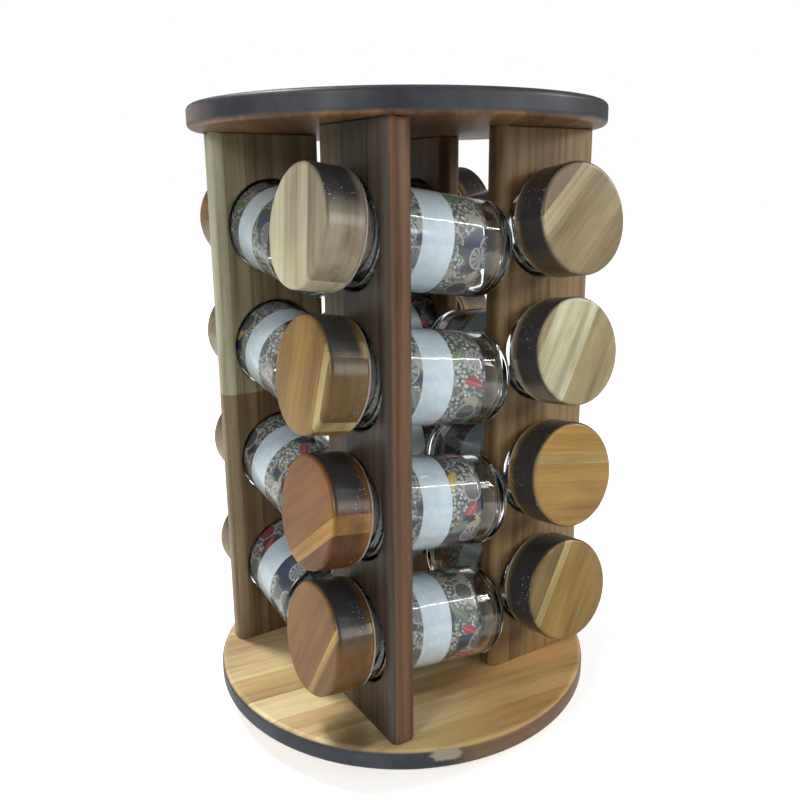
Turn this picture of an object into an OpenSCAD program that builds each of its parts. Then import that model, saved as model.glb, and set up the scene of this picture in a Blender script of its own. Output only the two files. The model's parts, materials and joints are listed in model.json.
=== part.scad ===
// Rotating spice rack: two wooden discs joined by four upright boards set as a pinwheel. Each board has
// four bores, and each bore holds a glass jar that lies on its side with a wooden lid. The rack turns on a
// flat ball bearing with rubber feet.
// Millimetres, +Z up. The origin is on the table, at the turning axis.

/* [Discs] */
// Thickness of each disc
disc_t = 10; // [7:0.5:16]
// How far the discs stand out past the boards' outer corners
disc_margin = 4.6; // [1:0.1:30]
// Rounding of the discs' edges
disc_round = 2.5; // [0.5:0.5:3]

/* [Boards] */
// Height of the boards between the discs
board_h = 260; // [250:1:420]
// Thickness of the boards
board_t = 12; // [11:0.5:18]
// Distance from the turning axis to a board's inner edge
board_inset = 19.4; // [15:0.1:40]
// Wood between a bore and the board's inner edge
rail_in = 4.8; // [3:0.1:15]
// Wood between a bore and the board's outer edge
rail_out = 7; // [3:0.1:25]
// Rounding of the boards' upright edges
board_nose = 5; // [1:0.5:5.5]
// Rounding of the boards' ends
board_end_round = 0.8; // [0.2:0.1:1.5]

/* [Bores] */
// Height of the lowest bores' centres above the base disc
first_tier = 41.5; // [36:0.5:60]
// Depth of the highest bores' centres below the top disc
last_tier = 43.3; // [36:0.1:60]
// How much wider a bore is than its jar
bore_clearance = 2.2; // [1.6:0.1:4]
// Rounding of the bores' rims
bore_round = 1; // [0.2:0.1:2]

/* [Jars] */
// Outer diameter of a jar
jar_d = 42.5; // [36:0.5:52]
// Length of a jar from its base to its rim
jar_l = 75.5; // [72:0.5:100]
// Wall of a jar
jar_wall = 2.2; // [1.5:0.1:3]
// Thickness of a jar's base
jar_base = 4.5; // [3:0.5:8]
// Rounding of the heel, where the base turns into the wall
jar_heel = 6; // [3:0.5:8]
// Rounding of the shoulder, where the wall turns in to the mouth
jar_shoulder = 3.5; // [2.5:0.1:6]
// Depth of the hollow under a jar's base
jar_punt = 1; // [0.3:0.1:1.5]
// Height of the rolled lip round the mouth
lip_h = 3; // [2:0.5:5]
// Diameter of the mouth
mouth_d = 33; // [28:0.5:34]

/* [Lids] */
// How far a lid stands out past its jar
lid_overhang = 3.25; // [0.5:0.05:4]
// Thickness of a lid
lid_h = 17.5; // [10:0.5:30]
// Rounding of a lid's outer edge
lid_round = 2; // [0.5:0.5:4]
// Rounding of a lid's back edge
lid_back_round = 1; // [0.3:0.1:2]
// Depth of a lid's plug inside the mouth
plug_l = 7; // [4:0.5:12]
// Thickness of the soft seal
seal_t = 1.2; // [0.6:0.1:2]
// How far the seal's flange stays inside the lid's edge
seal_set_back = 0.6; // [0.2:0.1:4]

/* [Turntable] */
// Diameter of the bearing's plates
plate_d = 128; // [120:1:140]
// Thickness of the plates
plate_t = 1; // [0.8:0.1:2]
// Diameter of the circle on which the balls run
race_d = 80; // [50:1:90]
// Diameter of a ball
ball_d = 5; // [3:0.5:6]
// Number of balls
ball_count = 36; // [12:1:40]
// Depth of the balls' grooves
groove_depth = 0.5; // [0.2:0.1:0.6]
// Diameter of the hub that holds the plates together
hub_d = 20; // [12:1:30]
// Width of the rim that is rolled over the upper plate from the hub
hub_rim = 2.5; // [1.5:0.1:4]
// Thickness of the rolled rim
hub_rim_t = 0.9; // [0.9:0.1:1.4]
// Diameter of a rubber foot
foot_d = 14; // [8:1:18]
// Height of a rubber foot
foot_h = 4; // [2:0.5:8]

/* [Fixings] */
// Distance from a board's upright edges to its screws and dowels
fixing_edge = 9; // [6:0.5:12]
// Diameter of a wood screw's shank
screw_d = 4; // [3:0.5:5]
// Length of a wood screw
screw_l = 35; // [25:1:36]
// Diameter of a dowel
dowel_d = 6; // [4:0.5:8]
// Rounding of a dowel's ends
dowel_round = 0.8; // [0.2:0.1:1.5]
// Length of a dowel
dowel_l = 24; // [16:1:30]
// Depth of a dowel in the top disc
dowel_in_disc = 6.5; // [3:0.5:8]

/* [Hidden] */
$fn = 96;
SIDES = ["right", "front", "left", "back"];
TIERS = 4;
// Clearances
running = 0.06;     // radial gap of a part that turns or rolls in another
seat = 0.1;         // gap of a part that rests against one that it can leave
stop_gap = 0.3;     // gap between a jar's base and the board that stops it
fixing_gap = 0.1;   // radial gap round screws and dowels
blind = 1;          // spare depth at the end of a blind hole
past = 1;           // how far a cut runs past the face that it opens
// Bores and boards
bore_r = (jar_d + bore_clearance) / 2;
board_w = rail_in + 2 * bore_r + rail_out;
board_outer = board_inset + board_w;
jar_axis = board_inset + rail_in + bore_r;
// A board's middle plane holds the bore axes of the board before it, so that its inner edge stops their jars.
board_offset = jar_axis;
// Discs
board_corner = norm([board_outer - board_nose, board_offset + board_t / 2 - board_nose]) + board_nose;
disc_r = round(board_corner + disc_margin);
// Heights above the table
lower_plate_z = foot_h;
plate_gap = ball_d - 2 * groove_depth;
upper_plate_z = lower_plate_z + plate_t + plate_gap;
base_z = upper_plate_z + plate_t;
board_z = base_z + disc_t;
top_z = board_z + board_h;
ball_z = lower_plate_z + plate_t + plate_gap / 2;
tier_pitch = (board_h - first_tier - last_tier) / (TIERS - 1);
// Jars and what fits them
jar_r = jar_d / 2;
mouth_r = mouth_d / 2;
lip_r = mouth_r + jar_wall;
lid_r = jar_r + lid_overhang;
heel_glass = 1.5;      // how much smaller the floor's rounding is inside than the heel's outside
shoulder_glass = 1.2;  // the same at the shoulder
punt_rim = 2;          // flat ring that a jar stands on, round the hollow under its base
skirt_t = 1.1;         // wall of the seal's skirt, round the lid's plug
rib_out = 0.74;        // how far the skirt's ribs stand out
rib_r = 0.7;
rib_count = 3;
skirt_end = 0.6;       // skirt left past the last rib, as a share of the ribs' pitch
plug_r = mouth_r - seat - rib_out - skirt_t - running;
seal_edge_r = lid_r - seal_set_back - seal_t / 2;
// A jar sinks at its base until it bears on the bore's two rims, which are arcs of bore_round.
rim_span = 2 * (bore_r - seat + bore_round);
rim_depth = board_t - 2 * bore_round;
tilt = acos(2 * (jar_r + bore_round) / norm([rim_span, rim_depth])) - atan(rim_depth / rim_span);
// Distance along the jar from its base to the bore's middle, where the next board's edge stops the heel.
stop_reach = board_inset - stop_gap + board_offset - (jar_r - jar_heel) * sin(tilt) - jar_heel;
heel_reach = jar_heel + stop_reach / cos(tilt);
// The same distance where the jar's own board would stop an edge with a round whose middle is at r and height
function face_reach(r, height, round) = height - (board_t / 2 + stop_gap + round + r * sin(tilt)) / cos(tilt);
seal_reach = face_reach(seal_edge_r, jar_l + seat + seal_t / 2, seal_t / 2);
lid_reach = face_reach(lid_r - lid_back_round, jar_l + seat + seal_t + lid_back_round, lid_back_round);
base_reach = min(heel_reach, seal_reach, lid_reach);
// Turntable
race_r = race_d / 2;
hub_r = hub_d / 2;
hub_wall = 2;
hub_rim_r = hub_r + hub_rim;
hub_rim_round = 0.4;
crisp = 0.1;        // rounding of a sheared edge
plate_soft = 0.4;   // rounding of a plate's outward edge, as a share of its thickness
recess_depth = 2;
foot_edge = 3;      // from a foot to the plate's edge
foot_soft = 0.3;    // rounding of a foot's lower edge, as a share of its height
foot_crisp = 0.05;  // the same at its upper edge
foot_circle_r = plate_d / 2 - foot_d / 2 - foot_edge;
access_r = 5;
// Screws
head_r = screw_d;
head_h = 0.55 * screw_d;
tip_l = 1.5 * screw_d;
tip_r = 0.2;
cross_l = 1.1 * head_r;
cross_w = 1;
cross_depth = 0.6 * head_h;

WALNUT = [0.47, 0.33, 0.20];
HONEY = [0.74, 0.56, 0.34];
TAN = [0.72, 0.58, 0.38];
CLEAR = [0.80, 0.88, 0.90, 0.45];
MILKY = [0.90, 0.90, 0.87];
STEEL = [0.66, 0.67, 0.69];
RUBBER = [0.10, 0.10, 0.10];
BEECH = [0.80, 0.66, 0.46];

// Height of a tier's bore centres; tier 1 is the highest
function tier_z(tier) = board_z + first_tier + (TIERS - tier) * tier_pitch;

// Height of a screw's head: the inner screws hold the bearing's plate too, so they sit lower by its thickness
function screw_z(inner) = inner ? upper_plate_z : base_z;

// Flat outlines

module rounded_rect(width, height, radius) {
    translate([radius, 0]) square([width - 2 * radius, height]);
    translate([0, radius]) square([width, height - 2 * radius]);
    for (x = [radius, width - radius], y = [radius, height - radius])
        translate([x, y]) circle(r = radius);
}

// Half outline of a turned disc, from the axis outwards, with its lower and upper edges rounded
module turned_outline(radius, height, low_round, high_round) {
    square([radius - low_round, low_round]);
    translate([0, low_round]) square([radius, height - low_round - high_round]);
    translate([0, height - high_round]) square([radius - high_round, high_round]);
    translate([radius - low_round, low_round]) circle(r = low_round);
    translate([radius - high_round, height - high_round]) circle(r = high_round);
}

// Places

// Turns a shape from the first board to another; each board stands a quarter turn clockwise from the last
module at_side(k) {
    rotate([0, 0, -90 * k]) children();
}

// Puts a shape drawn along +Z, with the jar's base at z = 0, where the jar lies in its bore
module in_bore(k, tier) {
    at_side(k)
        translate([jar_axis, -board_offset, tier_z(tier)])
            rotate([90 - tilt, 0, 0])
                translate([0, 0, -base_reach]) children();
}

// Puts a shape on the upright line of one of a board's two fixings
module at_fixing(k, inner, z) {
    x = inner ? board_inset + fixing_edge : board_outer - fixing_edge;
    at_side(k) translate([x, -board_offset, z]) children();
}

// Cutting tools

// Space of one bore along +Z, with its rims rounded
module bore_space() {
    rotate_extrude() {
        translate([0, -past]) square([bore_r, board_t + 2 * past]);
        difference() {
            translate([bore_r - past, -past]) square([past + bore_round, past + bore_round]);
            translate([bore_r + bore_round, bore_round]) circle(r = bore_round);
        }
        difference() {
            translate([bore_r - past, board_t - bore_round]) square([past + bore_round, past + bore_round]);
            translate([bore_r + bore_round, board_t - bore_round]) circle(r = bore_round);
        }
    }
}

// A screw's outline from its head upwards, wider by a gap
module screw_shape(gap) {
    translate([0, 0, -gap]) cylinder(h = head_h + gap, r1 = head_r + gap, r2 = screw_d / 2 + gap);
    translate([0, 0, -gap - past]) cylinder(h = past, r = head_r + gap);
    cylinder(h = screw_l - tip_l + gap, r = screw_d / 2 + gap);
    translate([0, 0, screw_l - tip_l + gap]) cylinder(h = tip_l, r1 = screw_d / 2 + gap, r2 = tip_r + gap);
}

module screw_spaces(k) {
    for (inner = [true, false]) at_fixing(k, inner, screw_z(inner)) screw_shape(fixing_gap);
}

module dowel_spaces(k) {
    for (inner = [true, false])
        at_fixing(k, inner, top_z + dowel_in_disc - dowel_l - blind)
            cylinder(h = dowel_l + 2 * blind, r = dowel_d / 2 + fixing_gap);
}

// Circular groove that the balls run in
module race_space() {
    translate([0, 0, ball_z]) rotate_extrude() translate([race_r, 0]) circle(r = ball_d / 2 + running);
}

// Wooden pieces

module base_disc() {
    color(HONEY) difference() {
        translate([0, 0, base_z]) rotate_extrude() turned_outline(disc_r, disc_t, disc_round, disc_round);
        translate([0, 0, base_z - past]) cylinder(h = recess_depth + past, r = hub_rim_r + past);
        for (k = [0:3]) screw_spaces(k);
    }
}

module top_disc() {
    color(WALNUT) difference() {
        translate([0, 0, top_z]) rotate_extrude() turned_outline(disc_r, disc_t, disc_round, disc_round);
        for (k = [0:3]) dowel_spaces(k);
    }
}

// A board's blank from its inner lower corner: X along its width, Y through it, Z up
module board_blank() {
    intersection() {
        linear_extrude(board_h) rounded_rect(board_w, board_t, board_nose);
        translate([board_w, 0, 0]) rotate([90, 0, -90])
            linear_extrude(board_w) translate([-board_t, 0]) rounded_rect(board_t, board_h, board_end_round);
        translate([0, board_t, 0]) rotate([90, 0, 0])
            linear_extrude(board_t) rounded_rect(board_w, board_h, board_end_round);
    }
}

module board(k) {
    color(WALNUT) difference() {
        at_side(k) difference() {
            translate([board_inset, -board_offset - board_t / 2, board_z]) board_blank();
            for (tier = [1:TIERS])
                translate([jar_axis, -board_offset + board_t / 2, tier_z(tier)])
                    rotate([90, 0, 0]) bore_space();
        }
        screw_spaces(k);
        dowel_spaces(k);
    }
}

// Jars and lids

// Outside of a jar as a half outline: heel, wall, shoulder and rolled lip
module jar_outside() {
    shoulder_z = jar_l - lip_h - jar_shoulder;
    square([jar_r - jar_heel, jar_heel]);
    translate([jar_r - jar_heel, jar_heel]) circle(r = jar_heel);
    translate([0, jar_heel]) square([jar_r, shoulder_z - jar_heel]);
    translate([0, shoulder_z]) square([jar_r - jar_shoulder, jar_shoulder]);
    translate([jar_r - jar_shoulder, shoulder_z]) circle(r = jar_shoulder);
    translate([0, shoulder_z]) square([lip_r, jar_shoulder + lip_h - jar_wall / 2]);
    translate([lip_r - jar_wall / 2, jar_l - jar_wall / 2]) circle(r = jar_wall / 2);
}

// Hollow of a jar as a half outline: rounded floor, wall, shoulder and mouth
module jar_inside() {
    hollow_r = jar_r - jar_wall;
    floor_round = jar_heel - heel_glass;
    under_shoulder = jar_l - lip_h - jar_wall;
    shoulder_round = jar_shoulder - shoulder_glass;
    translate([0, jar_base]) square([hollow_r - floor_round, floor_round]);
    translate([hollow_r - floor_round, jar_base + floor_round]) circle(r = floor_round);
    translate([0, jar_base + floor_round])
        square([hollow_r, under_shoulder - shoulder_round - jar_base - floor_round]);
    translate([hollow_r - shoulder_round, under_shoulder - shoulder_round]) circle(r = shoulder_round);
    translate([0, under_shoulder - shoulder_round]) square([hollow_r - shoulder_round, shoulder_round]);
    translate([0, under_shoulder - past]) square([mouth_r, jar_l - under_shoulder + 2 * past]);
}

module jar(k, tier) {
    punt_r = jar_r - jar_heel - punt_rim;
    punt_ball = (punt_r * punt_r + jar_punt * jar_punt) / (2 * jar_punt);
    color(CLEAR) in_bore(k, tier) difference() {
        rotate_extrude() difference() {
            jar_outside();
            jar_inside();
            translate([0, jar_l - jar_wall / 2]) square([mouth_r + jar_wall / 2, jar_wall]);
        }
        translate([0, 0, jar_punt - punt_ball]) sphere(r = punt_ball);
    }
}

// A lid is turned from one block: a thick disc, and a plug that reaches into the mouth
module lid(k, tier) {
    color(TAN) in_bore(k, tier) translate([0, 0, jar_l + seat]) rotate_extrude() {
        translate([0, seal_t]) turned_outline(lid_r, lid_h, lid_back_round, lid_round);
        translate([0, -plug_l]) square([plug_r, plug_l + seal_t + past]);
    }
}

// The seal is a soft ring round the plug, with a flange on the jar's rim and three ribs in the mouth
module seal(k, tier) {
    inner_r = plug_r + running;
    color(MILKY) in_bore(k, tier) translate([0, 0, jar_l + seat]) rotate_extrude() difference() {
        union() {
            translate([inner_r, 0]) square([seal_edge_r - inner_r, seal_t]);
            translate([seal_edge_r, seal_t / 2]) circle(r = seal_t / 2);
            translate([inner_r, -plug_l]) square([skirt_t, plug_l + seal_t / 2]);
            for (rib = [1:rib_count])
                translate([mouth_r - seat - rib_r, -plug_l * rib / (rib_count + skirt_end)]) circle(r = rib_r);
        }
        translate([0, -plug_l - past]) square([inner_r, plug_l + seal_t + 2 * past]);
    }
}

// Turntable

module upper_plate() {
    color(STEEL) difference() {
        translate([0, 0, upper_plate_z])
            rotate_extrude() turned_outline(plate_d / 2, plate_t, plate_soft * plate_t, crisp);
        translate([0, 0, upper_plate_z - past]) cylinder(h = plate_t + 2 * past, r = hub_r + running);
        race_space();
        for (k = [0:3]) screw_spaces(k);
    }
}

// The lower plate's hub passes through the upper plate and is rolled over above it
module lower_plate() {
    color(STEEL) difference() {
        union() {
            translate([0, 0, lower_plate_z])
                rotate_extrude() turned_outline(plate_d / 2, plate_t, crisp, plate_soft * plate_t);
            translate([0, 0, lower_plate_z])
                cylinder(h = base_z + running + hub_rim_t - lower_plate_z, r = hub_r);
            translate([0, 0, base_z + running])
                rotate_extrude() turned_outline(hub_rim_r, hub_rim_t, crisp, hub_rim_round);
        }
        translate([0, 0, lower_plate_z - past]) cylinder(h = base_z + disc_t - lower_plate_z, r = hub_r - hub_wall);
        race_space();
        translate([norm([board_inset + fixing_edge, board_offset]), 0, lower_plate_z - past])
            cylinder(h = plate_t + 2 * past, r = access_r);
    }
}

module bearing_balls() {
    color(STEEL) for (ball = [1:ball_count])
        rotate([0, 0, 360 * ball / ball_count]) translate([race_r, 0, ball_z]) sphere(d = ball_d);
}

module rubber_feet() {
    color(RUBBER) for (k = [0:3])
        rotate([0, 0, 45 + 90 * k]) translate([foot_circle_r, 0, 0])
            rotate_extrude() turned_outline(foot_d / 2, foot_h, foot_soft * foot_h, foot_crisp * foot_h);
}

// Fixings

module board_screws() {
    color(STEEL) for (k = [0:3], inner = [true, false])
        at_fixing(k, inner, screw_z(inner)) difference() {
            intersection() {
                screw_shape(0);
                cylinder(h = screw_l, r = head_r + past);
            }
            for (turn = [0, 90])
                rotate([0, 0, turn]) translate([-cross_l / 2, -cross_w / 2, -past])
                    cube([cross_l, cross_w, past + cross_depth]);
        }
}

module board_dowels() {
    color(BEECH) for (k = [0:3], inner = [true, false])
        at_fixing(k, inner, top_z + dowel_in_disc - dowel_l)
            rotate_extrude() turned_outline(dowel_d / 2, dowel_l, dowel_round, dowel_round);
}

base_disc();
top_disc();
for (k = [0:3])
    board(k);
for (k = [0:3], tier = [1:TIERS]) {
    jar(k, tier);
    lid(k, tier);
    seal(k, tier);
}
upper_plate();
lower_plate();
bearing_balls();
rubber_feet();
board_screws();
board_dowels();
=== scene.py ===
# %% [markdown]
# A rotating spice rack: two wooden discs, four upright boards set as a pinwheel, and sixteen glass jars that lie in
# the boards' bores with turned wooden lids. The frame holds every rigid piece at its real size. This file gives
# the pieces their finishes, and builds the two kinds of piece that the frame leaves plain: the glass of the jars,
# and the printed film round each of them.

import json
import math

import bpy
import numpy as np
from mathutils import Matrix, Vector


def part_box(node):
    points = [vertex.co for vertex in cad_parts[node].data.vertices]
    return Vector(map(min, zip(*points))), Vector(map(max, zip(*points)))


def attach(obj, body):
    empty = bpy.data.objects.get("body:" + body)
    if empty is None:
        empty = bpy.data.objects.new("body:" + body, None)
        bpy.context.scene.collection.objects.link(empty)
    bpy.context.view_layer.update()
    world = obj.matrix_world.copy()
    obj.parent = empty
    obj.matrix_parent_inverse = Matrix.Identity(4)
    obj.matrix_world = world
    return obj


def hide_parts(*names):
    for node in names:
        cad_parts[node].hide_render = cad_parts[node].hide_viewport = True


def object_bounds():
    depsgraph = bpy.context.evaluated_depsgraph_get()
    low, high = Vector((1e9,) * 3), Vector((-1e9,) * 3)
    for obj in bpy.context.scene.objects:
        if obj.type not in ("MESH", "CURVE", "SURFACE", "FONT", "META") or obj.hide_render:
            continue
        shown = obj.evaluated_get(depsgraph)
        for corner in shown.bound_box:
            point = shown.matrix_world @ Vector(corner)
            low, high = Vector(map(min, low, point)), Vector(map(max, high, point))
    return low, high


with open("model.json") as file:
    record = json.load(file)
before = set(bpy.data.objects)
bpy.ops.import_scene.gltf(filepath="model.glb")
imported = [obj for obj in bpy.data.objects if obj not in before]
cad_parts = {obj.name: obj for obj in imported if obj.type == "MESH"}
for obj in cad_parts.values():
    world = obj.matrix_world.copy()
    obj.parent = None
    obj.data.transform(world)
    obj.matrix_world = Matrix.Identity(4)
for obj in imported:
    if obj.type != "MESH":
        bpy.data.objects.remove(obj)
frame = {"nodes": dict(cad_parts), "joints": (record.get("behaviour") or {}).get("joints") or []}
cad_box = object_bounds()
MM = 0.001
SIDES = ["right", "front", "left", "back"]
TIERS = [1, 2, 3, 4]
nodes = frame["nodes"]
height = cad_box[1].z

# %% [markdown]
# The camera comes first, because every later choice is judged through it. It stands a little above the middle of
# the rack, turned 33 degrees off the direction that the right board faces, and looks down by 14 degrees. The lens
# is short and the rack close, which is why the discs look so round.

# %% Camera
CAMERA_PLACE = (-0.21227, -0.33261, 0.25568)
CAMERA_TURN = -32.58
CAMERA_DOWN = 13.767
CAMERA_ROLL = -0.518
CAMERA_LENS = 36.516
CAMERA_SHIFT_Y = -0.0203


def add_camera():
    """Turn about Z, tip down about X, then roll about the line of sight."""
    data = bpy.data.cameras.new("camera")
    data.sensor_width = 36
    data.lens = CAMERA_LENS
    data.shift_y = CAMERA_SHIFT_Y
    camera = bpy.data.objects.new("camera", data)
    turn = Matrix.Rotation(math.radians(CAMERA_TURN), 4, "Z")
    tip = Matrix.Rotation(math.radians(90 - CAMERA_DOWN), 4, "X")
    roll = Matrix.Rotation(math.radians(CAMERA_ROLL), 4, "Z")
    camera.matrix_world = Matrix.Translation(CAMERA_PLACE) @ turn @ tip @ roll
    bpy.context.scene.collection.objects.link(camera)
    return camera


bpy.context.scene.camera = add_camera()
print("camera", [round(v, 3) for v in CAMERA_PLACE], "lens", CAMERA_LENS)

# %% [markdown]
# A material is a small graph of nodes. These few helpers add one node each, so that a finish can be written as
# sums and mixes of patterns, and reads like the description of the real surface.

# %% Helpers for node graphs
def new_material(name):
    """An empty material, its node tree and its shader."""
    material = bpy.data.materials.new(name)
    material.use_nodes = True
    tree = material.node_tree
    return material, tree, tree.nodes["Principled BSDF"]


def put(tree, socket, value):
    """Links an output to an input, or sets the input to a plain value."""
    if isinstance(value, bpy.types.NodeSocket):
        tree.links.new(value, socket)
    else:
        socket.default_value = value


def maths(tree, operation, *values):
    """One Math node."""
    node = tree.nodes.new("ShaderNodeMath")
    node.operation = operation
    for socket, value in zip(node.inputs, values):
        put(tree, socket, value)
    return node.outputs[0]


def vectors(tree, operation, *values):
    """One Vector Math node: its vector output, or its value where the operation gives a number."""
    node = tree.nodes.new("ShaderNodeVectorMath")
    node.operation = operation
    for socket, value in zip(node.inputs, values):
        put(tree, socket, value)
    return node.outputs["Value" if operation in ("LENGTH", "DOT_PRODUCT", "DISTANCE") else "Vector"]


def step(tree, value, low, high):
    """A soft step from 0 at low to 1 at high; a low above high turns it round."""
    node = tree.nodes.new("ShaderNodeMapRange")
    node.interpolation_type = "SMOOTHSTEP"
    for socket, given in zip(node.inputs, (value, low, high)):
        put(tree, socket, given)
    return node.outputs[0]


def noise(tree, where, scale, detail=3.0, roughness=0.55, distortion=0.0):
    """One Noise node's value, which lies mostly between 0.3 and 0.7."""
    node = tree.nodes.new("ShaderNodeTexNoise")
    for name, value in zip(("Vector", "Scale", "Detail", "Roughness", "Distortion"),
                           (where, scale, detail, roughness, distortion)):
        put(tree, node.inputs[name], value)
    return node.outputs[0]


def blend(tree, factor, first, second, mode="MIX"):
    """One colour Mix node: first where the factor is 0, second laid over it where the factor is 1."""
    node = tree.nodes.new("ShaderNodeMix")
    node.data_type = "RGBA"
    node.blend_type = mode
    for index, value in zip((0, 6, 7), (factor, first, second)):
        put(tree, node.inputs[index], value)
    return node.outputs[2]


def ramp(tree, factor, stops, steps=False):
    """A colour ramp through (position, colour) stops, in steps or smooth."""
    node = tree.nodes.new("ShaderNodeValToRGB")
    node.color_ramp.interpolation = "CONSTANT" if steps else "LINEAR"
    elements = node.color_ramp.elements
    while len(elements) > 1:
        elements.remove(elements[-1])
    for number, (position, colour) in enumerate(stops):
        element = elements[0] if number == 0 else elements.new(position)
        element.position = position
        element.color = (*colour[:3], 1)
    put(tree, node.inputs[0], factor)
    return node.outputs[0]


def srgb(red, green, blue):
    """A screen colour from 0 to 255 as the linear colour that shaders take."""
    def linear(value):
        value = value / 255
        return value / 12.92 if value <= 0.04045 else ((value + 0.055) / 1.055) ** 2.4

    return (linear(red), linear(green), linear(blue), 1)


# %% [markdown]
# Wood. Each panel is glued from staves, so one graph serves every wooden piece: a matrix says which way the grain
# runs and where the panel's middle is, and a table lists the staves across it with their tones. Inside a stave the
# grain is solid, as in real wood: patterns stretched along the grain come out as long streaks on the faces and as
# dots and rings on the ends.

# %% Where the grain runs
def grain_place(middle, along, across):
    """Matrix with x along the grain, y across the staves and z through the panel."""
    x = Vector(along).normalized()
    z = x.cross(Vector(across)).normalized()
    y = z.cross(x)
    return Matrix.Translation(middle) @ Matrix((x, y, z)).transposed().to_4x4()


def in_millimetres(tree, place):
    """Object coordinates seen from the matrix, in millimetres."""
    where = tree.nodes.new("ShaderNodeTexCoord")
    mapping = tree.nodes.new("ShaderNodeMapping")
    mapping.vector_type = "TEXTURE"
    mapping.inputs["Location"].default_value = place.to_translation()
    mapping.inputs["Rotation"].default_value = place.to_euler()
    mapping.inputs["Scale"].default_value = (MM, MM, MM)
    tree.links.new(where.outputs["Object"], mapping.inputs["Vector"])
    return mapping.outputs["Vector"]


def facing(tree, direction):
    """From -1 to 1: how far the surface faces the direction."""
    where = tree.nodes.new("ShaderNodeTexCoord")
    return vectors(tree, "DOT_PRODUCT", where.outputs["Normal"], tuple(direction))


def near_point(tree, point, radius, flatness, soft, waves):
    """1 around a point of the object, falling to 0 in a ragged ellipse that is flatter than it is wide."""
    where = tree.nodes.new("ShaderNodeTexCoord")
    offset = vectors(tree, "SUBTRACT", where.outputs["Object"], tuple(point))
    away = vectors(tree, "LENGTH", vectors(tree, "MULTIPLY", offset, (1, 1, flatness)))
    ragged = maths(tree, "MULTIPLY_ADD", noise(tree, where.outputs["Object"], waves, 4), radius, away)
    return step(tree, ragged, radius * 1.5, radius * (1.5 - soft))


# %% [markdown]
# The grain itself is a sum of five patterns, each stretched along the grain: growth rings, broad streaks, fine
# fibres, slow clouds and short open pores. A second slow pattern moves the hue between olive and red-brown. The
# staves come from different trees, so each one shifts the patterns by its own amount.

# %% Grain
def stave_colours(tree, across, staves):
    """Steps from one stave's colour to the next; staves is a list of (lower edge in mm, colour)."""
    low, high = staves[0][0], staves[-1][0] + 100
    share = maths(tree, "DIVIDE", maths(tree, "SUBTRACT", across, low), high - low)
    return ramp(tree, share, [((edge - low) / (high - low), colour) for edge, colour in staves], steps=True)


def stretched(tree, inside, along, across, detail=3.0, roughness=0.55):
    """Noise with so many waves per millimetre along and across the grain."""
    return noise(tree, vectors(tree, "MULTIPLY", inside, (along, across, across)), 1, detail, roughness, 0.2)


def growth_rings(tree, inside, gap):
    """Wavy rings round the grain, so many millimetres apart."""
    rings = tree.nodes.new("ShaderNodeTexWave")
    rings.wave_type = "RINGS"
    rings.rings_direction = "X"
    for socket, value in {"Scale": 2 * math.pi / 20 / gap, "Distortion": 6.0, "Detail": 3.0, "Detail Scale": 0.7,
                          "Detail Roughness": 0.65}.items():
        rings.inputs[socket].default_value = value
    tree.links.new(vectors(tree, "MULTIPLY", inside, (0.05, 1, 1)), rings.inputs["Vector"])
    return step(tree, rings.outputs["Fac"], 0.3, 1.0)


def grain(tree, where, tone, contrast, gap, weights):
    """The stave's tone with its grain: colour, fibres and pores."""
    scatter = tree.nodes.new("ShaderNodeTexWhiteNoise")
    tree.links.new(tone, scatter.inputs["Vector"])
    inside = vectors(tree, "ADD", where, vectors(tree, "MULTIPLY", scatter.outputs["Color"], (900, 70, 70)))
    fibres = stretched(tree, inside, 0.08, 2.2)
    pores = step(tree, stretched(tree, inside, 0.16, 3.4, 1), 0.63, 0.72)
    patterns = [growth_rings(tree, inside, gap), step(tree, stretched(tree, inside, 0.006, 0.26, 5, 0.62), 0.4, 0.68),
                step(tree, fibres, 0.4, 0.65), step(tree, stretched(tree, inside, 0.014, 0.06, 2), 0.38, 0.66), pores]
    shade = 0.0
    for weight, pattern in zip(weights, patterns):
        shade = maths(tree, "MULTIPLY_ADD", pattern, weight * contrast, shade)
    hue = step(tree, stretched(tree, inside, 0.01, 0.09, 3), 0.35, 0.65)
    dark = blend(tree, hue, (0.36, 0.34, 0.26, 1), (0.44, 0.33, 0.24, 1))
    return blend(tree, shade, tone, dark, "MULTIPLY"), fibres, pores


BOLD = (0.22, 0.6, 0.14, 0.3, 0.3)
CLOUDY = (0.08, 0.34, 0.12, 0.5, 0.25)

# %% [markdown]
# The lacquer lies over the grain as a clear coat, rougher on the boards than on the lids. The dark rims of the discs
# and the dark sides of the lids are laid on afterwards, partly as painted shade and reflection.

# %% Wood
def wood(name, place, staves, contrast=1.0, gap=4.0, weights=BOLD, coat=0.5, coat_roughness=0.12):
    """Lacquered wood, glued from staves: material, tree, colour, fibres and pores. The caller links the colour."""
    material, tree, shader = new_material(name)
    where = in_millimetres(tree, place)
    parts = tree.nodes.new("ShaderNodeSeparateXYZ")
    tree.links.new(where, parts.inputs[0])
    tone = stave_colours(tree, parts.outputs["Y"], staves)
    colour, fibres, pores = grain(tree, where, tone, contrast, gap, weights)
    put(tree, shader.inputs["Base Color"], colour)
    put(tree, shader.inputs["Roughness"], maths(tree, "MULTIPLY_ADD", fibres, 0.35, 0.25))
    shader.inputs["Specular IOR Level"].default_value = 0.2
    shader.inputs["Coat Weight"].default_value = coat
    shader.inputs["Coat Roughness"].default_value = coat_roughness
    bump = tree.nodes.new("ShaderNodeBump")
    bump.inputs["Strength"].default_value = 0.35
    bump.inputs["Distance"].default_value = 0.15 * MM
    put(tree, bump.inputs["Height"], maths(tree, "MULTIPLY_ADD", pores, -0.8, maths(tree, "MULTIPLY", fibres, 0.5)))
    tree.links.new(bump.outputs[0], shader.inputs["Normal"])
    return material, tree, shader, {"along": parts.outputs["X"], "through": parts.outputs["Z"], "colour": colour}


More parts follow.
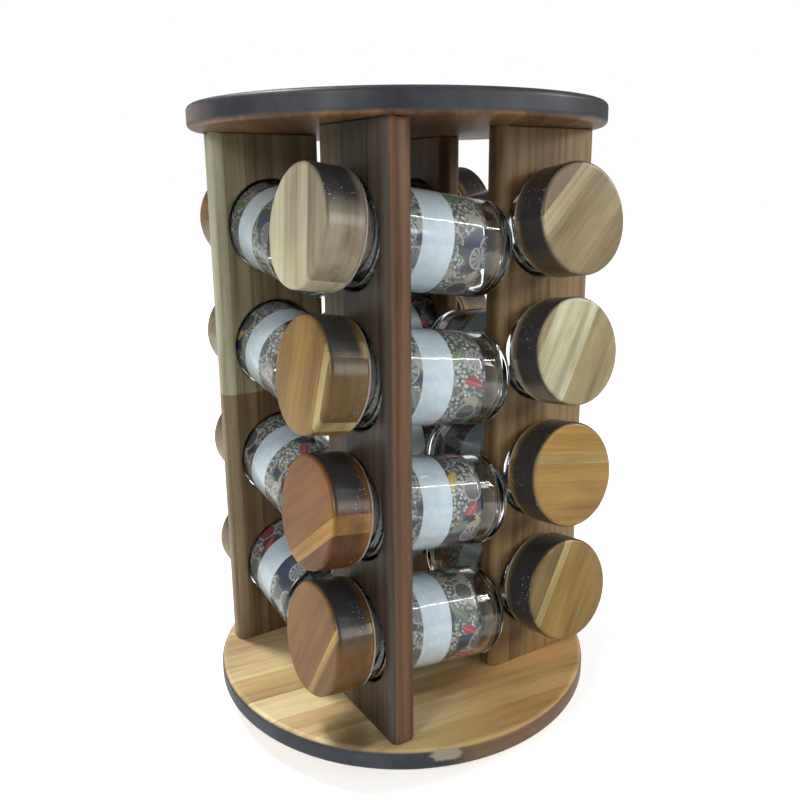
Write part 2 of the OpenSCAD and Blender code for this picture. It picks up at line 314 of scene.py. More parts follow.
def finish_with(node, material):
    """Gives a node of the frame its only material."""
    nodes[node].data.materials.clear()
    nodes[node].data.materials.append(material)


# %% [markdown]
# The two discs. The base shows its light upper face, with staves that run from side to side. Both rims are dark
# where the sawn ends drank the finish, and their slate grey is partly a painted dark reflection. The base's upper face
# is painted brighter all over and most of all on its left, as painted light, and has a patch of painted shade beside
# the front board's foot. Its rim turns brown towards the viewer's right as painted light, and has one pale grey spot.
# The top rim is painted darker where it faces right and lighter where it faces left, as painted shade and light.

# %% Discs
BASE_GRAIN = -7
TOP_GRAIN = 58
# The rims' slate: dark end grain with a painted dark reflection in it.
SLATE = [(0.3, srgb(46, 51, 57)), (0.5, srgb(60, 65, 71)), (0.7, srgb(78, 80, 84))]
PALE_RIM_SPOT = (-0.0345, -0.0885)
# Middle of a patch of painted shade on the base's upper face, beside the front board's foot.
PAINTED_SHADE_SPOT = (-0.063, -0.061)
# Directions the rims face where painted light and shade are laid on.
RIM_RIGHT = (0.99, -0.12, 0)
RIM_LEFT = (-0.84, 0.54, 0)


def disc_wood(name, node, angle, staves, contrast, weights):
    """Wood of a disc, whose grain runs at the angle in the horizontal plane."""
    low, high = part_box(node)
    angle = math.radians(angle)
    along, across = (math.cos(angle), math.sin(angle), 0), (-math.sin(angle), math.cos(angle), 0)
    place = grain_place((low + high) / 2, along, across)
    return wood(name, place, staves, contrast=contrast, weights=weights, coat=0.15, coat_roughness=0.35)


def rim_stain_and_painted_light(tree, shader, parts, amount, lower_edge, slopes, tones):
    """Slate over the rim, part stain and part painted dark reflection, fading out between two slopes and below the
    lower edge; tones are (factor, colour) of painted light and shade laid over it.
    """
    level = maths(tree, "ABSOLUTE", facing(tree, (0, 0, 1)))
    rim = maths(tree, "MULTIPLY", step(tree, level, *slopes), amount)
    where = tree.nodes.new("ShaderNodeTexCoord")
    ragged = maths(tree, "MULTIPLY", noise(tree, where.outputs["Object"], 60, 3), 2 * MM)
    z = maths(tree, "SUBTRACT", vectors(tree, "DOT_PRODUCT", where.outputs["Object"], (0, 0, 1)), ragged)
    rim = maths(tree, "MULTIPLY", rim, step(tree, z, lower_edge, lower_edge + 1.5 * MM))
    slate = ramp(tree, noise(tree, where.outputs["Object"], 45, 4, 0.6), SLATE)
    for factor, tone in tones:
        slate = blend(tree, factor, slate, tone)
    put(tree, shader.inputs["Base Color"], blend(tree, rim, parts["colour"], slate))


BASE_STAVES = [
    (-100, srgb(192, 148, 88)), (-78, srgb(200, 160, 102)), (-60, srgb(196, 150, 94)), (-41, srgb(216, 176, 116)),
    (-24, srgb(194, 148, 90)), (-4, srgb(206, 166, 108)), (19, srgb(182, 140, 90)), (38, srgb(206, 168, 114)),
    (61, srgb(180, 138, 88)), (80, srgb(205, 170, 118)),
]
TOP_STAVES = [
    (-100, srgb(128, 92, 60)), (-72, srgb(112, 76, 48)), (-47, srgb(140, 102, 66)), (-20, srgb(118, 82, 52)),
    (6, srgb(146, 108, 70)), (31, srgb(112, 78, 50)), (58, srgb(132, 96, 62)), (81, srgb(120, 84, 54)),
]
base_wood, tree, shader, parts = disc_wood("base wood", "base_disc", BASE_GRAIN, BASE_STAVES, 0.8, CLOUDY)
# Painted light: the upper face is made brighter all over, and most of all on its left, like a pool of light.
painted_light_side = step(tree, parts["along"], 20, -35)
light = blend(tree, painted_light_side, (1.3, 1.36, 1.55, 1), (1.4, 1.8, 2.5, 1))
parts["colour"] = blend(tree, 1.0, parts["colour"], light, "MULTIPLY")
# Painted shade: a dark patch on the upper face, under the lowest front lid.
painted_shade = near_point(tree, (*PAINTED_SHADE_SPOT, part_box("base_disc")[1].z), 0.017, 1, 0.9, 60)
parts["colour"] = blend(tree, painted_shade, parts["colour"], (0.36, 0.28, 0.26, 1), "MULTIPLY")
# A pale grey spot near the top of the base's rim, where the slate is left off.
pale_rim_spot = near_point(tree, (*PALE_RIM_SPOT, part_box("base_disc")[1].z - 3 * MM), 0.008, 2.4, 0.4, 300)
parts["colour"] = blend(tree, maths(tree, "MULTIPLY", pale_rim_spot, 0.8), parts["colour"], srgb(150, 146, 138))
# Painted light: the base's rim turns brown where it faces the viewer's right.
right = step(tree, facing(tree, RIM_RIGHT), -0.3, -0.05)
amount = maths(tree, "SUBTRACT", maths(tree, "MULTIPLY_ADD", right, -0.2, 1.0), pale_rim_spot)
rim_stain_and_painted_light(tree, shader, parts, amount, 0, (0.85, 0.45), [(right, srgb(88, 66, 56))])
finish_with("base_disc", base_wood)
top_wood, tree, shader, parts = disc_wood("top wood", "top_disc", TOP_GRAIN, TOP_STAVES, 1.0, BOLD)
# Painted shade and light: the top rim is darker where it faces right and lighter where it faces left.
right = step(tree, facing(tree, RIM_RIGHT), 0.1, 0.8)
left = maths(tree, "MULTIPLY", step(tree, facing(tree, RIM_LEFT), 0.72, 1.0), 0.8)
rim_stain_and_painted_light(tree, shader, parts, 0.95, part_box("top_disc")[0].z - 0.5 * MM, (0.99, 0.9),
          [(right, srgb(30, 30, 34)), (left, srgb(158, 138, 124))])
finish_with("top_disc", top_wood)
print("discs:", len(BASE_STAVES), "and", len(TOP_STAVES), "staves")

# %% [markdown]
# The four boards stand with upright grain. Each is sawn from one or two staves of darker wood, olive brown or red
# brown. The left board turns paler above a straight line at half its height.

# %% Boards
LEFT_CHANGE_HEIGHT = 5.0
LEFT_UPPER = (1.6, 2.1, 2.5, 1)


def board_place(side):
    """Grain matrix of an upright board; side 0 faces -Y with its lids, and each next one is a quarter turn on."""
    low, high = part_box("board_" + SIDES[side])
    turn = Matrix.Rotation(math.radians(-90 * side), 3, "Z")
    return grain_place((low + high) / 2, (0, 0, 1), turn @ Vector((1, 0, 0)))


BOARD_STAVES = {
    "right": [(-40, srgb(152, 122, 84)), (3, srgb(168, 136, 96))],
    "front": [(-40, srgb(112, 99, 76)), (-8, srgb(76, 67, 57)), (16, srgb(86, 74, 66)), (26.5, srgb(120, 86, 60))],
    "left": [(-40, srgb(110, 86, 58)), (12, srgb(124, 102, 72)), (22, srgb(146, 126, 94)), (26.5, srgb(162, 143, 113))],
    "back": [(-40, srgb(108, 82, 50)), (-6, srgb(92, 68, 42))],
}
for side, name in enumerate(SIDES):
    board_wood, tree, shader, parts = wood(f"{name} board wood", board_place(side), BOARD_STAVES[name], contrast=0.9,
                                           coat=0.15, coat_roughness=0.35)
    if name == "left":
        upper = step(tree, parts["along"], LEFT_CHANGE_HEIGHT - 0.15, LEFT_CHANGE_HEIGHT + 0.15)
        put(tree, shader.inputs["Base Color"], blend(tree, upper, parts["colour"], LEFT_UPPER, "MULTIPLY"))
    finish_with("board_" + name, board_wood)
print("boards:", list(BOARD_STAVES))

# %% [markdown]
# A jar lies on its own sloping axis. The slide joint gives that axis's direction, and the jar's points give its
# middle: seen along the axis, a turned piece is as wide on one side of its axis as on the other.

# %% Axes of the jars
joints = {joint["name"]: joint for joint in frame["joints"]}


def points_of(node):
    """A node's vertices as one array, in metres."""
    mesh = nodes[node].data
    flat = np.zeros(len(mesh.vertices) * 3, np.float32)
    mesh.vertices.foreach_get("co", flat)
    return flat.reshape(-1, 3).astype(float)


def jar_place(name):
    """Matrix of a jar: origin at its base, z towards its lid, y as upright as it can be."""
    z = np.array(joints[f"jar_{name}_slide"]["axis"], float)
    z /= np.linalg.norm(z)
    y = np.array([0, 0, 1]) - z[2] * z
    y /= np.linalg.norm(y)
    x = np.cross(y, z)
    turned = points_of("jar_" + name) @ np.stack([x, y, z], 1)
    low, high = turned.min(0), turned.max(0)
    middle = (low + high) / 2
    origin = middle[0] * x + middle[1] * y + low[2] * z
    place = Matrix([[*row] for row in np.stack([x, y, z], 1)]).to_4x4()
    return Matrix.Translation(origin) @ place, (high - low)[0] / 2, (high - low)[2]


JARS = {f"{side}_{tier}": jar_place(f"{side}_{tier}") for side in SIDES for tier in TIERS}
JAR_R, JAR_L = JARS["right_1"][1], JARS["right_1"][2]
print(f"{len(JARS)} jars, {JAR_R / MM * 2:.1f} mm across and {JAR_L / MM:.1f} mm long")

# %% [markdown]
# The lids are turned from glued panels, so a light stave crosses some of them as a stripe. Each lid has its own
# grain angle and its own staves. The angle is measured in the lid's face, from the direction that points away from
# the rack's axis. The lids that the photograph doesn't show get staves drawn from a seeded generator.

# %% Lids
LID_STAVES = {
    "right_1": (41, [(-40, srgb(160, 138, 98)), (9.5, srgb(194, 182, 140)), (16.5, srgb(134, 114, 84))]),
    "right_2": (57, [(-40, srgb(180, 162, 118)), (-1.4, srgb(218, 212, 178)), (20, srgb(180, 164, 126))]),
    "right_3": (170, [(-40, srgb(180, 138, 64)), (-11.5, srgb(204, 174, 104)), (-5.5, srgb(174, 134, 68))]),
    "right_4": (56, [(-40, srgb(164, 130, 66)), (8.5, srgb(194, 170, 112)), (12.5, srgb(138, 112, 64))]),
    "front_1": (101, [(-40, srgb(170, 158, 132)), (-11, srgb(214, 204, 170)), (8.7, srgb(234, 226, 190))]),
    "front_2": (84, [(-40, srgb(140, 108, 58)), (-21, srgb(214, 198, 134)), (-16.5, srgb(168, 132, 68))]),
    "front_3": (39, [(-40, srgb(132, 84, 24)), (-17, srgb(184, 138, 60)), (-10.3, srgb(142, 90, 22))]),
    "front_4": (64, [(-40, srgb(128, 90, 36)), (-16, srgb(202, 164, 92)), (-12.6, srgb(142, 98, 34))]),
}
# How much painted shade each lid's side takes.
SIDE_PAINTED_SHADE = {"right_1": 0.9, "right_2": 0.85, "right_3": 0.95, "right_4": 0.6, "front_1": 0.25, "front_2": 0.6,
                 "front_3": 0.8, "front_4": 0.5}
LID_TONES = [srgb(176, 150, 108), srgb(166, 126, 74), srgb(186, 150, 92), srgb(150, 112, 68), srgb(196, 184, 142)]
rng = np.random.default_rng(16)


def drawn_staves():
    """A random grain angle and two or three staves of neighbouring tones."""
    edges = [-40, *sorted(rng.uniform(-16, 16, rng.integers(1, 3)))]
    tones = rng.permutation(len(LID_TONES))
    return rng.uniform(0, 180), [(edge, LID_TONES[tones[number]]) for number, edge in enumerate(edges)]


def lid_place(jar, grain):
    """Grain matrix of a lid: the jar's own matrix, turned about its axis."""
    place = JARS[jar][0]
    angle = math.radians(grain)
    turn = place.to_3x3()
    along = turn @ Vector((math.cos(angle), math.sin(angle), 0))
    across = turn @ Vector((-math.sin(angle), math.cos(angle), 0))
    return grain_place(place @ Vector((0, 0, JAR_L)), along, across)


def lid_side(tree, shader, parts, axis, amount, dark_reflection_from):
    """The turned side, in painted shade: a slate painted reflection above, brown below, with pale filler in some pores.
    """
    # Painted dark reflection on the upward-facing part of the side, and painted shade over the rest of it.
    above = step(tree, facing(tree, (0, 0, 1)), dark_reflection_from, dark_reflection_from + 0.7)
    side = maths(tree, "MULTIPLY", step(tree, parts["through"], 1, 6), maths(tree, "MAXIMUM", amount, above))
    side = maths(tree, "MULTIPLY", side, step(tree, maths(tree, "ABSOLUTE", facing(tree, axis)), 0.9, 0.45))
    below = blend(tree, 1.0, parts["colour"], (0.46, 0.41, 0.36, 1), "MULTIPLY")
    tone = blend(tree, maths(tree, "MULTIPLY", above, 0.9), below, srgb(48, 49, 53))
    colour = blend(tree, side, parts["colour"], tone)
    where = tree.nodes.new("ShaderNodeTexCoord")
    patch = step(tree, noise(tree, where.outputs["Object"], 45, 2), 0.5, 0.6)
    dots = step(tree, noise(tree, where.outputs["Object"], 1100, 1), 0.62, 0.76)
    filler = maths(tree, "MULTIPLY", maths(tree, "MULTIPLY", patch, dots), side)
    put(tree, shader.inputs["Base Color"], blend(tree, filler, colour, srgb(176, 172, 164)))


for jar in JARS:
    angle, staves = LID_STAVES.get(jar) or drawn_staves()
    lid_wood, tree, shader, parts = wood(f"lid wood {jar}", lid_place(jar, angle), staves, contrast=0.95, gap=3.0,
                                         weights=CLOUDY, coat=0.3, coat_roughness=0.22)
    lid_side(tree, shader, parts, JARS[jar][0].to_3x3() @ Vector((0, 0, 1)), SIDE_PAINTED_SHADE.get(jar, 0.6),
             -1.1 if jar.startswith("right") else -0.1)
    finish_with("lid_" + jar, lid_wood)
print("lids with staves from the photograph:", len(LID_STAVES))

# %% [markdown]
# Turned pieces are surfaces of revolution: a half outline of (radius, height) points is carried round an axis. The
# outline runs from the axis at one end, along the outside, back through the inside, and ends on the axis again, so
# the shell is closed. Its two end points lie on the axis and become poles.

# %% Surfaces of revolution
AROUND = 96


def arc(centre, radius, start, end, count):
    """Points on a circle's arc, from one angle to another in degrees: centre + radius * (cos, sin)."""
    angles = np.radians(np.linspace(start, end, count))
    return np.stack([centre[0] + radius * np.cos(angles), centre[1] + radius * np.sin(angles)], 1)


def revolve(name, outline, place, material, around=AROUND):
    """Point (r, h) of the outline at angle t goes to (r cos t, r sin t, h). The outline's ends are poles."""
    rings = np.asarray(outline)[1:-1]
    angle = 2 * np.pi * np.arange(around) / around
    x = rings[:, :1] * np.cos(angle)
    y = rings[:, :1] * np.sin(angle)
    z = np.repeat(rings[:, 1:], around, 1)
    points = np.concatenate([np.stack([x, y, z], -1).reshape(-1, 3),
                             [[0, 0, outline[0][1]], [0, 0, outline[-1][1]]]])
    row = np.arange(len(rings) - 1)[:, None] * around
    here, there = np.arange(around), (np.arange(around) + 1) % around
    quads = np.stack([row + here, row + there, row + around + there, row + around + here], -1).reshape(-1, 4)
    start, end = len(points) - 2, len(points) - 1
    last = (len(rings) - 1) * around
    first_fan = np.stack([np.full(around, start), there, here], -1)
    last_fan = np.stack([np.full(around, end), last + here, last + there], -1)
    faces = [*quads.tolist(), *first_fan.tolist(), *last_fan.tolist()]
    return make_piece(name, points * MM, faces, place, material)


def make_piece(name, points, faces, place, material):
    """A smooth mesh whose place is in its points, with its object at the origin."""
    turn, shift = np.array(place.to_3x3()), np.array(place.to_translation())
    mesh = bpy.data.meshes.new(name)
    mesh.from_pydata(points @ turn.T + shift, [], faces)
    mesh.shade_smooth()
    mesh.materials.append(material)
    piece = bpy.data.objects.new(name, mesh)
    bpy.context.scene.collection.objects.link(piece)
    return piece


# %% [markdown]
# The glass. A moulded jar has a thick base with a hollow under it, a wide rounded heel, a wall that is even along
# the body, and a rolled lip. Glass only looks right as a closed shell with a true wall, because light bends twice in
# it. The frame's jar has that shape too, but in flat facets, so a finer one stands for it.

# %% Glass of the jars
WALL = 2.2
BASE = 4.5
HEEL = 6.0
SHOULDER = 3.5
LIP = 3.0
MOUTH_R = 16.5
PUNT = 1.0
HEEL_INSIDE = 4.5
SHOULDER_INSIDE = 2.3


def jar_outline():
    """Half outline from the hollow under the base, up the outside, over the lip and down the inside."""
    r, length = JAR_R / MM, JAR_L / MM
    shoulder_z = length - LIP - SHOULDER
    lip_r = MOUTH_R + WALL
    punt_r = r - HEEL - 2
    under = np.linspace(0, punt_r, 8)
    punt = np.stack([under, PUNT * (1 - (under / punt_r) ** 2)], 1)
    outside = [punt, arc((r - HEEL, HEEL), HEEL, -90, 0, 14), arc((r - SHOULDER, shoulder_z), SHOULDER, 0, 90, 9),
               [(lip_r, shoulder_z + SHOULDER)], arc((lip_r - WALL / 2, length - WALL / 2), WALL / 2, 0, 180, 12)]
    top = length - LIP - WALL
    inner = r - WALL
    floor_r = inner - HEEL_INSIDE
    inside = [[(MOUTH_R, top)], arc((inner - SHOULDER_INSIDE, top - SHOULDER_INSIDE), SHOULDER_INSIDE, 90, 0, 8),
              arc((floor_r, BASE + HEEL_INSIDE), HEEL_INSIDE, 0, -90, 12), [(floor_r / 2, BASE), (0, BASE)]]
    return np.concatenate(outside + inside)


def glass():
    """Clear bottle glass with a faint green cast and the slight waves of a moulded wall."""
    material, tree, shader = new_material("jar glass")
    shader.inputs["Base Color"].default_value = (0.965, 0.985, 0.975, 1)
    shader.inputs["Transmission Weight"].default_value = 1
    shader.inputs["Roughness"].default_value = 0.015
    shader.inputs["IOR"].default_value = 1.5
    where = tree.nodes.new("ShaderNodeTexCoord")
    bump = tree.nodes.new("ShaderNodeBump")
    bump.inputs["Strength"].default_value = 0.25
    bump.inputs["Distance"].default_value = 0.3 * MM
    put(tree, bump.inputs["Height"], noise(tree, where.outputs["Object"], 90, 1, 0.4))
    tree.links.new(bump.outputs[0], shader.inputs["Normal"])
    return material


jar_glass = glass()
outline = jar_outline()
for jar, (place, _, _) in JARS.items():
    piece = revolve("glass_" + jar, outline, place, jar_glass)
    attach(piece, "jar_" + jar)
    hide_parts("jar_" + jar)
print("glass:", len(outline), "points in the outline,", len(JARS), "jars")

# %% [markdown]
# The printed film. Each jar wears a shrunk sleeve: a glossy film with a pale band round its middle and a print of
# kitchen things on a nearly black ground on both sides of the band. The band is left bare, and the print is a plain
# scatter of leaves, berries and seeds, drawn by the shader from the film's own UV map, in centimetres. Each cell of
# a Voronoi pattern gives a motif its middle and its random numbers.

# %% Print on the film
BAND = (3.40, 4.96)


def cells(tree, where, per_cm, randomness=1.0):
    """One Voronoi pattern: place relative to the nearest cell's middle in cm, and the cell's three random numbers."""
    node = tree.nodes.new("ShaderNodeTexVoronoi")
    node.voronoi_dimensions = "2D"
    for name, value in (("Vector", where), ("Scale", per_cm), ("Randomness", randomness)):
        put(tree, node.inputs[name], value)
    offset = vectors(tree, "SUBTRACT", where, node.outputs["Position"])
    chance = tree.nodes.new("ShaderNodeSeparateColor")
    tree.links.new(node.outputs["Color"], chance.inputs[0])
    return offset, [chance.outputs[number] for number in range(3)]


def turned(tree, offset, chance):
    """An offset turned by a random share of a full turn: x and y outputs."""
    node = tree.nodes.new("ShaderNodeVectorRotate")
    node.rotation_type = "Z_AXIS"
    tree.links.new(offset, node.inputs["Vector"])
    put(tree, node.inputs["Angle"], maths(tree, "MULTIPLY", chance, 2 * math.pi))
    parts = tree.nodes.new("ShaderNodeSeparateXYZ")
    tree.links.new(node.outputs[0], parts.inputs[0])
    return parts.outputs["X"], parts.outputs["Y"]


def lay_seeds(tree, where, ground):
    """Heaps of small seeds: cells 1.4 mm apart, shown where a slow noise is high."""
    offset, chance = cells(tree, where, 5.5)
    near = vectors(tree, "LENGTH", offset)
    tones = ramp(tree, chance[0], [(0.0, srgb(108, 120, 114)), (0.35, srgb(158, 168, 154)), (0.6, srgb(192, 198, 184)),
                                   (0.8, srgb(134, 130, 130)), (1.0, srgb(176, 158, 140))])
    grain = blend(tree, step(tree, near, 0.045, 0.1), tones, srgb(80, 82, 84))
    heap = step(tree, noise(tree, where, 0.6, 2, 0.5), 0.45, 0.49)
    return blend(tree, heap, ground, grain)


def lay_leaves(tree, where, ground):
    """Leaves: a lens whose half width is w (1 - (x / l)^2), with a pale rib along its middle."""
    offset, chance = cells(tree, where, 0.72, 0.9)
    x, y = turned(tree, offset, chance[0])
    length, width = 0.6, 0.24
    share = maths(tree, "DIVIDE", x, length)
    half = maths(tree, "MULTIPLY_ADD", maths(tree, "MULTIPLY", share, share), -width, width)
    away = maths(tree, "SUBTRACT", maths(tree, "ABSOLUTE", y), half)
    tones = ramp(tree, chance[1], [(0.0, srgb(96, 118, 92)), (0.3, srgb(172, 156, 78)), (0.42, srgb(150, 144, 130)),
                                   (0.7, srgb(158, 62, 74)), (0.82, srgb(104, 124, 108))], steps=True)
    rib = step(tree, maths(tree, "ABSOLUTE", y), 0.022, 0.012)
    leaf = blend(tree, maths(tree, "MULTIPLY", rib, 0.4), tones, srgb(190, 188, 168))
    return blend(tree, step(tree, away, 0.008, -0.008), ground, leaf)


def lay_berries(tree, where, ground):
    """Round cut fruit: a disc with a pale rim and darker spokes that run to its middle."""
    offset, chance = cells(tree, vectors(tree, "ADD", where, (0.6, 0.35, 0)), 0.55, 0.6)
    near = vectors(tree, "LENGTH", offset)
    x, y = turned(tree, offset, chance[0])
    spokes = maths(tree, "SINE", maths(tree, "MULTIPLY", maths(tree, "ARCTAN2", y, x), 9))
    flesh = ramp(tree, chance[1], [(0.0, srgb(104, 106, 108)), (0.4, srgb(128, 130, 134)), (0.65, srgb(84, 88, 90)),
                                   (0.85, srgb(150, 62, 70)), (1.0, srgb(190, 170, 70))], steps=True)
    flesh = blend(tree, step(tree, spokes, 0.2, 0.8), flesh, srgb(66, 66, 70))
    radius = maths(tree, "MULTIPLY_ADD", chance[2], 0.14, 0.44)
    rim = step(tree, maths(tree, "ABSOLUTE", maths(tree, "SUBTRACT", near, radius)), 0.045, 0.028)
    disc = blend(tree, rim, flesh, srgb(158, 152, 142))
    return blend(tree, step(tree, maths(tree, "SUBTRACT", near, radius), 0.045, 0.035), ground, disc)


def film():
    """The sleeve's film: print on both sides of a bare pale band, under a clear gloss."""
    material, tree, shader = new_material("sleeve film")
    uv = tree.nodes.new("ShaderNodeUVMap")
    uv.uv_map = "around"
    where = uv.outputs[0]
    ground = ramp(tree, noise(tree, where, 0.6, 1, 0.5), [(0.3, srgb(38, 54, 86)), (0.4, srgb(42, 46, 58)),
                                                         (0.47, srgb(74, 76, 78)), (0.53, srgb(164, 162, 152)),
                                                         (0.6, srgb(158, 154, 142)), (0.66, srgb(116, 44, 58))])
    colour = lay_seeds(tree, where, ground)
    colour = lay_leaves(tree, where, colour)
    colour = lay_berries(tree, where, colour)
    parts = tree.nodes.new("ShaderNodeSeparateXYZ")
    tree.links.new(where, parts.inputs[0])
    along = parts.outputs["Y"]
    mottle = noise(tree, where, 2.5, 3, 0.6)
    pale = ramp(tree, mottle, [(0.35, srgb(190, 210, 220)), (0.65, srgb(208, 220, 226))])
    low, high = BAND
    band = maths(tree, "MULTIPLY", step(tree, along, low - 0.006, low + 0.006), step(tree, along, high + 0.006, high - 0.006))
    colour = blend(tree, band, colour, pale)
    put(tree, shader.inputs["Base Color"], colour)
    shader.inputs["Roughness"].default_value = 0.35
    shader.inputs["Coat Weight"].default_value = 1.0
    shader.inputs["Coat Roughness"].default_value = 0.07
    bump = tree.nodes.new("ShaderNodeBump")
    bump.inputs["Strength"].default_value = 0.3
    bump.inputs["Distance"].default_value = 0.2 * MM
    put(tree, bump.inputs["Height"], noise(tree, vectors(tree, "MULTIPLY", where, (1.2, 0.5, 1)), 2.2, 2, 0.5))
    tree.links.new(bump.outputs[0], shader.inputs["Coat Normal"])
    return material


# %% [markdown]
# The sleeve's shape is a thin closed shell round the glass: outside, over the edge, and back along the inside. It is
# thinner than the gap between a jar and its bore. Its film follows the glass a little way round the shoulder and
# stops above the heel, where the bare glass begins. The UV map is the unrolled film in centimetres: how far round,
# and how far along. Every sleeve starts at another place of the endless pattern, so no two look alike.

# %% Sleeves
SLEEVE_LOW = 17.0
SLEEVE_HIGH = 68.6
FILM_INSIDE = 0.015
FILM_OUTSIDE = 0.07
sleeve_film = film()


def sleeve_outline():
    """Closed outline of the film's wall, outside first, as (radius, height, height on the print)."""
    r = JAR_R / MM
    heights = np.linspace(SLEEVE_LOW, SLEEVE_HIGH, 24)
    outside = np.stack([np.full_like(heights, r + FILM_OUTSIDE), heights, heights], 1)
    inside = np.stack([np.full_like(heights, r + FILM_INSIDE), heights, heights], 1)[::-1]
    return np.concatenate([outside, inside, outside[:1]])


def sleeve(name, place, number):
    """Point (r, h) of the closed outline at angle t goes to (r cos t, r sin t, h)."""
    outline = sleeve_outline()
    rows = len(outline) - 1
    angle = 2 * np.pi * np.arange(AROUND) / AROUND
    ring = outline[:-1]
    points = np.stack([ring[:, :1] * np.cos(angle), ring[:, :1] * np.sin(angle), np.repeat(ring[:, 1:2], AROUND, 1)], -1)
    row, column = np.meshgrid(np.arange(rows), np.arange(AROUND), indexing="ij")
    next_row, next_column = (row + 1) % rows, (column + 1) % AROUND
    corners = [(row, column, 0, 0), (row, next_column, 0, 1), (next_row, next_column, 1, 1), (next_row, column, 1, 0)]
    faces = np.stack([a * AROUND + b for a, b, _, _ in corners], -1).reshape(-1, 4)
    piece = make_piece(name, points.reshape(-1, 3) * MM, faces.tolist(), place, sleeve_film)
    length = 2 * math.pi * JAR_R / MM / 10
    start = 3.1 * number
    u = [start + length * (column + right) / AROUND for _, _, _, right in corners]
    v = [outline[row + up, 2] / 10 for _, _, up, _ in corners]
    uv = np.stack([np.stack(u, -1), np.stack(v, -1)], -1)
    layer = piece.data.uv_layers.new(name="around")
    layer.data.foreach_set("uv", uv.astype(np.float32).ravel())
    return piece


for number, (jar, (place, _, _)) in enumerate(JARS.items()):
    piece = sleeve("sleeve_" + jar, place, number)
    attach(piece, "jar_" + jar)
print("sleeves from", SLEEVE_LOW, "to", SLEEVE_HIGH, "mm along the jars")

# %% [markdown]
# The small materials: a soft translucent seal, pressed and polished steel for the turntable, balls and screws,
# black rubber for the feet, and plain beech for the hidden dowels.

# %% Seals, steel, rubber and dowels
def plain(name, colour, roughness, wave, metallic=0.0, grain=300.0):
    """A finish with a fine mottle in its colour and roughness; wave is how much the roughness moves."""
    material, tree, shader = new_material(name)
    where = tree.nodes.new("ShaderNodeTexCoord")
    mottle = noise(tree, where.outputs["Object"], grain, 4, 0.6)
    darker = tuple(part * 0.75 for part in colour[:3])
    put(tree, shader.inputs["Base Color"], ramp(tree, mottle, [(0.3, darker), (0.7, colour)]))
    put(tree, shader.inputs["Roughness"], maths(tree, "MULTIPLY_ADD", mottle, wave, roughness - wave / 2))
    shader.inputs["Metallic"].default_value = metallic
    return material, tree, shader


seal_rubber, _, shader = plain("seal silicone", srgb(222, 204, 192), 0.4, 0.1)
shader.inputs["Transmission Weight"].default_value = 0.25
plate_steel, _, _ = plain("plate steel", srgb(170, 172, 175), 0.34, 0.15, metallic=1.0)
ball_steel, _, _ = plain("ball steel", srgb(190, 191, 194), 0.12, 0.04, metallic=1.0)
screw_steel, _, _ = plain("screw steel", srgb(188, 180, 150), 0.3, 0.12, metallic=1.0)
foot_rubber, _, _ = plain("foot rubber", srgb(34, 34, 35), 0.7, 0.2, grain=900)
dowel_wood, _, _ = plain("dowel beech", srgb(206, 172, 124), 0.6, 0.2)
for jar in JARS:
    finish_with("seal_" + jar, seal_rubber)
for node, material in {"upper_plate": plate_steel, "lower_plate": plate_steel, "bearing_balls": ball_steel,
                       "board_screws": screw_steel, "rubber_feet": foot_rubber, "board_dowels": dowel_wood}.items():
    finish_with(node, material)
print("small materials on", len(JARS) + 6, "nodes")

# %% [markdown]
# The studio. A pale floor and a white surround stand in for the cut-out background. A camera ray, a glossy ray and a
# ray through glass all see the surround at full white, while the light that reaches the wood comes from three
# lamps and a low even fill. A soft window stands on each side, and a small bright lamp above gives the thin
# highlights on the glass.

# %% Floor, surround and lamps
def studio_world():
    """White for rays that look at it, and a low fill for the light on the object."""
    world = bpy.data.worlds.new("studio")
    bpy.context.scene.world = world
    world.use_nodes = True
    tree = world.node_tree
    background = tree.nodes["Background"]
    path = tree.nodes.new("ShaderNodeLightPath")
    where = tree.nodes.new("ShaderNodeTexCoord")
    parts = tree.nodes.new("ShaderNodeSeparateXYZ")
    tree.links.new(where.outputs["Generated"], parts.inputs[0])
    ceiling = maths(tree, "MULTIPLY_ADD", step(tree, parts.outputs["Z"], 0.1, 0.6), CEILING - 1, 1)
    seen = maths(tree, "MULTIPLY", maths(tree, "MULTIPLY", path.outputs["Is Glossy Ray"], SHEEN), ceiling)
    seen = maths(tree, "MAXIMUM", seen, path.outputs["Is Transmission Ray"])
    seen = maths(tree, "MAXIMUM", seen, path.outputs["Is Camera Ray"])
    background.inputs["Color"].default_value = (1, 1, 1, 1)
    put(tree, background.inputs["Strength"], maths(tree, "MAXIMUM", seen, FILL))


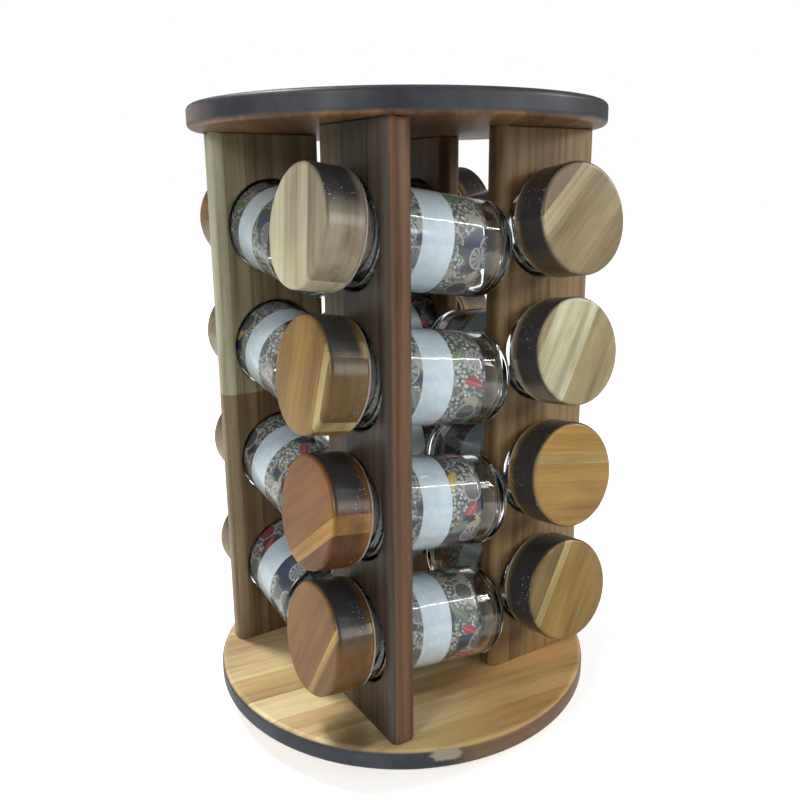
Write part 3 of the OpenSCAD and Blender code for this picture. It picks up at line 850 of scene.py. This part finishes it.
def studio_floor():
    """A pale disc that glows a little for the rays that look at it, so that it meets the white surround."""
    material, tree, shader = new_material("floor")
    path = tree.nodes.new("ShaderNodeLightPath")
    seen = maths(tree, "MULTIPLY", path.outputs["Is Glossy Ray"], SHEEN)
    seen = maths(tree, "MAXIMUM", seen, path.outputs["Is Camera Ray"])
    seen = maths(tree, "MAXIMUM", seen, path.outputs["Is Transmission Ray"])
    shader.inputs["Base Color"].default_value = (0.8, 0.8, 0.8, 1)
    shader.inputs["Roughness"].default_value = 0.9
    shader.inputs["Specular IOR Level"].default_value = 0.1
    shader.inputs["Emission Color"].default_value = (1, 1, 1, 1)
    where = tree.nodes.new("ShaderNodeTexCoord")
    far = step(tree, vectors(tree, "LENGTH", where.outputs["Object"]), 0.3, 1.2)
    glow = maths(tree, "MULTIPLY_ADD", far, 1 - FLOOR_GLOW, FLOOR_GLOW)
    put(tree, shader.inputs["Emission Strength"], maths(tree, "MULTIPLY", seen, glow))
    angle = 2 * np.pi * np.arange(96) / 96
    points = np.stack([6 * np.cos(angle), 6 * np.sin(angle), np.zeros(96)], 1)
    return make_piece("floor", points, [list(range(96))], Matrix.Identity(4), material)


def lamp(name, place, aim, size, power, colour=(1, 1, 1), roll=0):
    """An oval area light at a place, turned towards a point and then rolled by some degrees."""
    data = bpy.data.lights.new(name, "AREA")
    data.shape = "ELLIPSE"
    data.size, data.size_y = size
    data.energy = power
    data.color = colour
    light = bpy.data.objects.new(name, data)
    light.location = place
    aimed = (Vector(aim) - Vector(place)).to_track_quat("-Z", "Y").to_matrix()
    light.rotation_euler = (aimed @ Matrix.Rotation(math.radians(roll), 3, "Z")).to_euler()
    bpy.context.scene.collection.objects.link(light)


FILL = 0.2
SHEEN = 0.3
CEILING = 0.4
FLOOR_GLOW = 0.6
MIDDLE = (0, 0, height / 2)
studio_world()
studio_floor()
lamp("window_right", (1.3, -0.78, 0.75), MIDDLE, (0.32, 0.38), 8, (1.0, 0.98, 0.95))
lamp("window_left", (-1.2, -0.6, 0.7), MIDDLE, (0.35, 0.5), 7, (0.95, 0.98, 1.0))
lamp("window_front", (0.65, -1.28, 0.58), MIDDLE, (0.45, 0.45), 5, (0.86, 0.94, 1.0))
lamp("ceiling", (-0.36, 0.68, 1.38), MIDDLE, (0.3, 0.3), 17, (1.0, 0.98, 0.95))
lamp("strip", (1.11, -0.76, 1.01), MIDDLE, (0.6, 0.035), 2, roll=-38.5)
bpy.context.scene.view_settings.view_transform = "Standard"
print("fill", FILL, "and five lamps")
